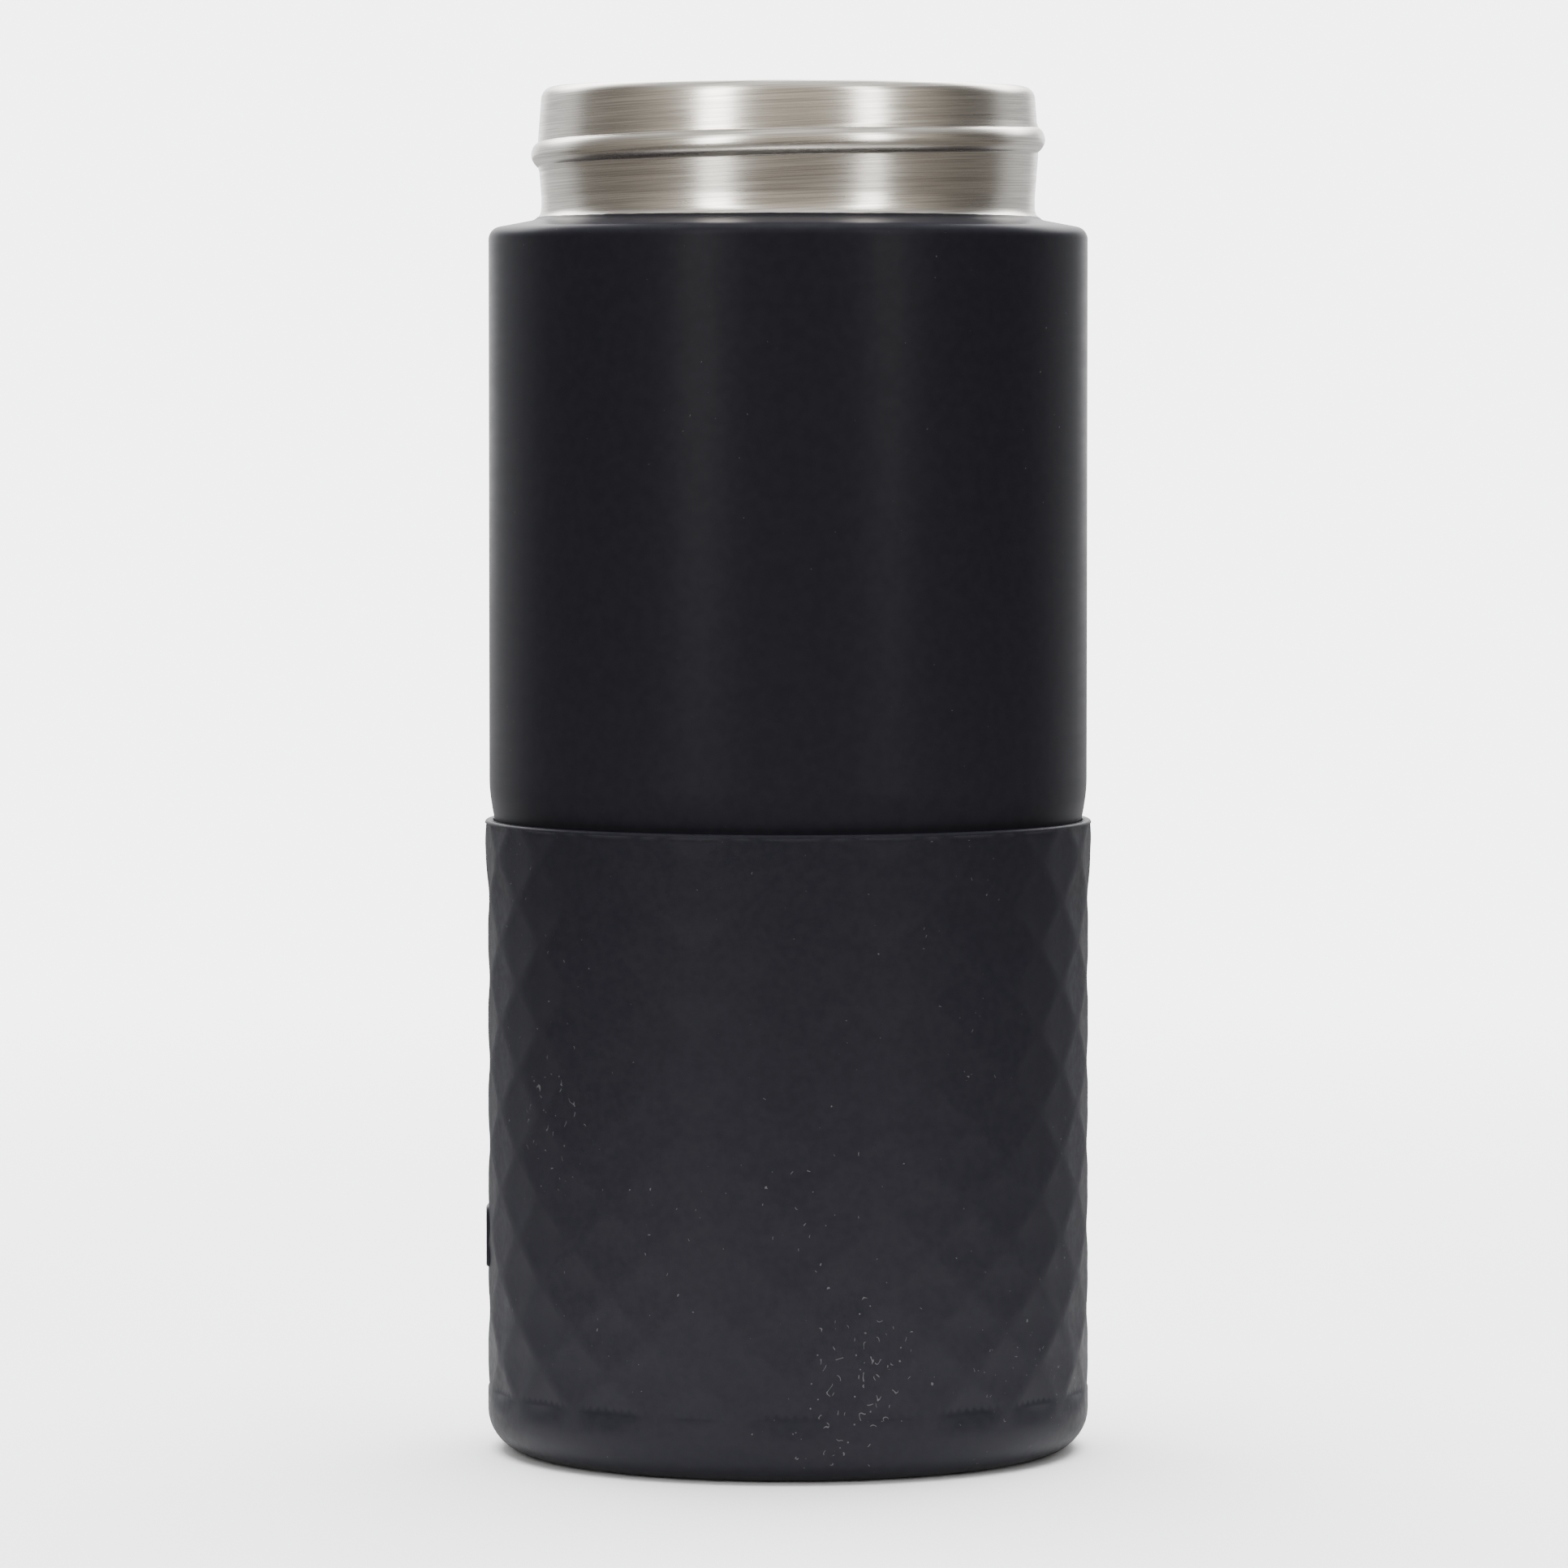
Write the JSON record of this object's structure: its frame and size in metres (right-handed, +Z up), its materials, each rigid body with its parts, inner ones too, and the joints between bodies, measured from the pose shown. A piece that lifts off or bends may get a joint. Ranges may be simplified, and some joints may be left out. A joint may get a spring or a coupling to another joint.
{
  "type": "vacuum insulated travel tumbler",
  "caption": "Double-wall steel drinking vessel with a threaded bare neck and a black coated body, standing in a silicone boot with diamond relief",
  "frame": {"origin": "centre of the boot's underside, on the surface that the tumbler stands on", "axes": "+Z up along the tumbler's axis, -Y the front, +X to the right seen from the front"},
  "size_m": [0.0742, 0.0742, 0.1666],
  "materials": {
    "silicone": "matte",
    "black_coat": "satin",
    "brushed_steel": "brushed",
    "plain_steel": "satin",
    "copper_foil": "bright foil",
    "sintered_metal": "matte",
    "solder_glass": "glossy opaque"
  },
  "bodies": {
    "boot": {"silicone_boot": "silicone"},
    "vessel": {"outer_shell": "black_coat", "inner_liner": "brushed_steel", "liner_bottom": "brushed_steel", "outer_base": "plain_steel", "base_cover": "plain_steel", "heat_shield_foil": "copper_foil", "heat_shield_disc": "copper_foil", "getter_holder": "plain_steel", "getter_pellet": "sintered_metal", "vacuum_seal_bead": "solder_glass"}
  },
  "joints": [
    {"name": "boot_pull_off", "type": "slide", "parent": "boot", "child": "vessel", "axis": [0, 0, 1], "range_m": [0, 0.08]}
  ]
}
